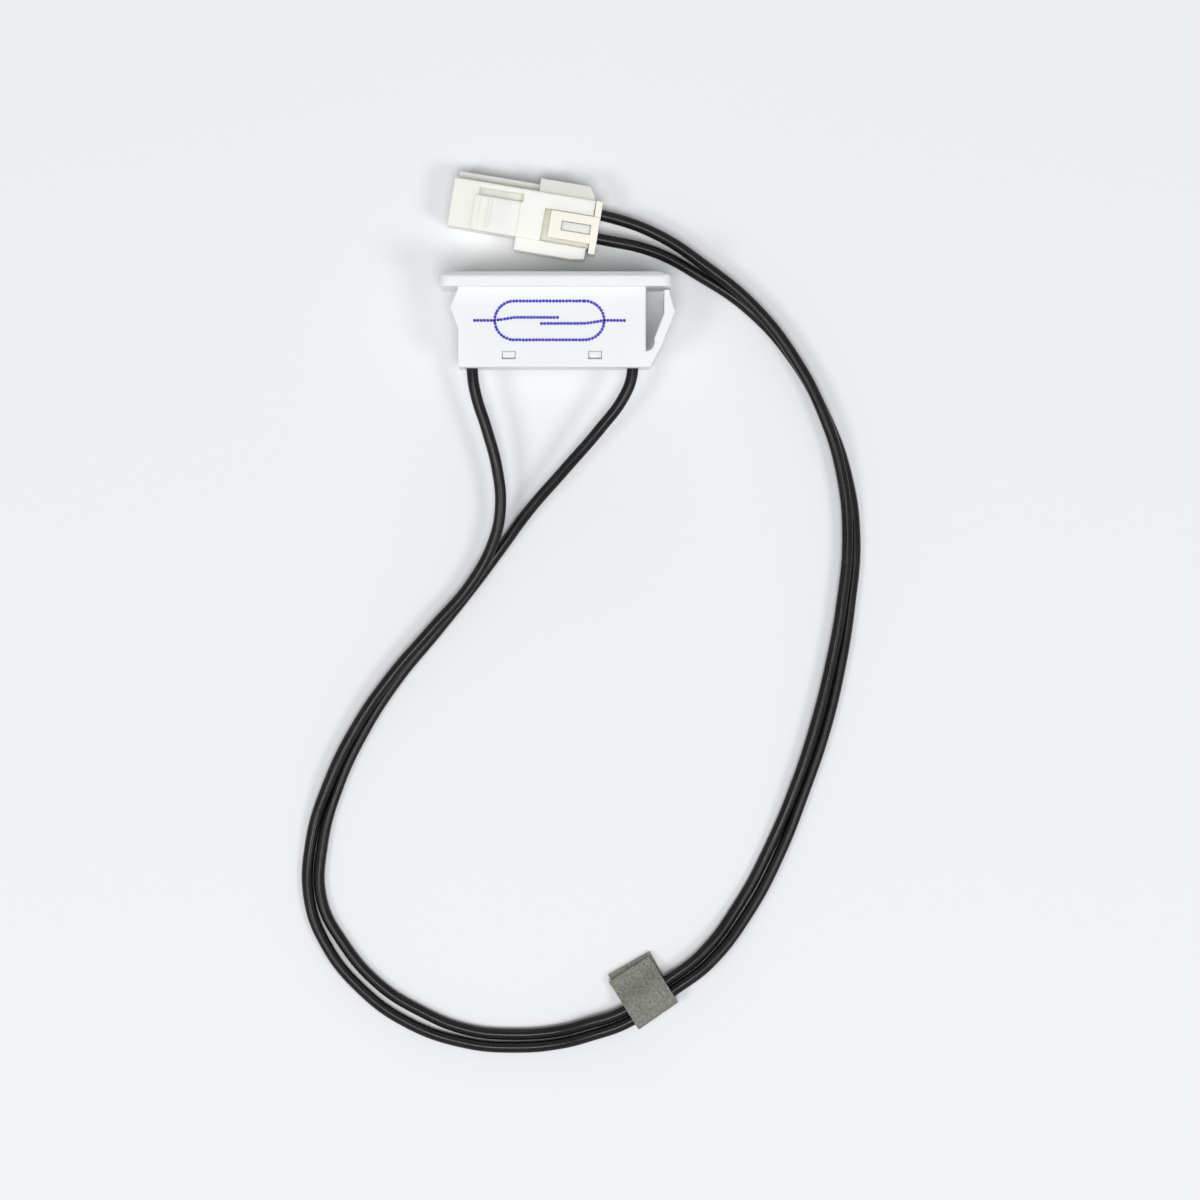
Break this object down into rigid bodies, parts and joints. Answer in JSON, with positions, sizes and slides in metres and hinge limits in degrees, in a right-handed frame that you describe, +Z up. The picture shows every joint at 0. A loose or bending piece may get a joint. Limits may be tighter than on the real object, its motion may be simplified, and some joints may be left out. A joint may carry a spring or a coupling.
{
  "type": "reed switch",
  "caption": "Snap-in reed switch: a glass reed capsule closed in a flanged white moulding, with thin black leads, a foam wrap and a keyed nylon connector.",
  "frame": {"origin": "bottom centre of the switch without its leads, on the surface it lies on", "axes": "+Z up, +Y the way the sensing face looks, X along the flange with the spring arm at +X"},
  "size_m": [0.0786, 0.124, 0.013],
  "materials": {
    "housing_plastic": "moulded, satin",
    "capsule_glass": "clear",
    "reed_alloy": "plated",
    "tinned_brass": "tinned",
    "copper": "bright",
    "wire_pvc": "smooth, satin",
    "foam": "open-cell foam",
    "natural_nylon": "moulded, slightly translucent",
    "cream_plastic": "moulded"
  },
  "bodies": {
    "switch": {"switch_housing": "housing_plastic", "rear_cover": "housing_plastic", "glass_envelope": "capsule_glass", "left_lead": "reed_alloy", "right_lead": "reed_alloy", "left_splice": "tinned_brass", "right_splice": "tinned_brass", "left_conductor": "copper", "right_conductor": "copper", "left_wire": "wire_pvc", "right_wire": "wire_pvc", "foam_wrap": "foam", "connector_housing": "natural_nylon", "connector_retainer": "cream_plastic", "upper_terminal": "tinned_brass", "lower_terminal": "tinned_brass"},
    "left_blade": {"left_reed": "reed_alloy"},
    "right_blade": {"right_reed": "reed_alloy"}
  },
  "joints": [
    {"name": "left_blade_flex", "type": "hinge", "parent": "switch", "child": "left_blade", "pos_m": [-0.0062, 0.00391, 0.0065], "axis": [0, 0, -1], "range_deg": [0, 0.6], "stiffness_Nm_per_rad": 0.06},
    {"name": "right_blade_flex", "type": "hinge", "parent": "switch", "child": "right_blade", "pos_m": [0.0046, 0.00359, 0.0065], "axis": [0, 0, -1], "range_deg": [0, 0.6], "stiffness_Nm_per_rad": 0.06}
  ]
}
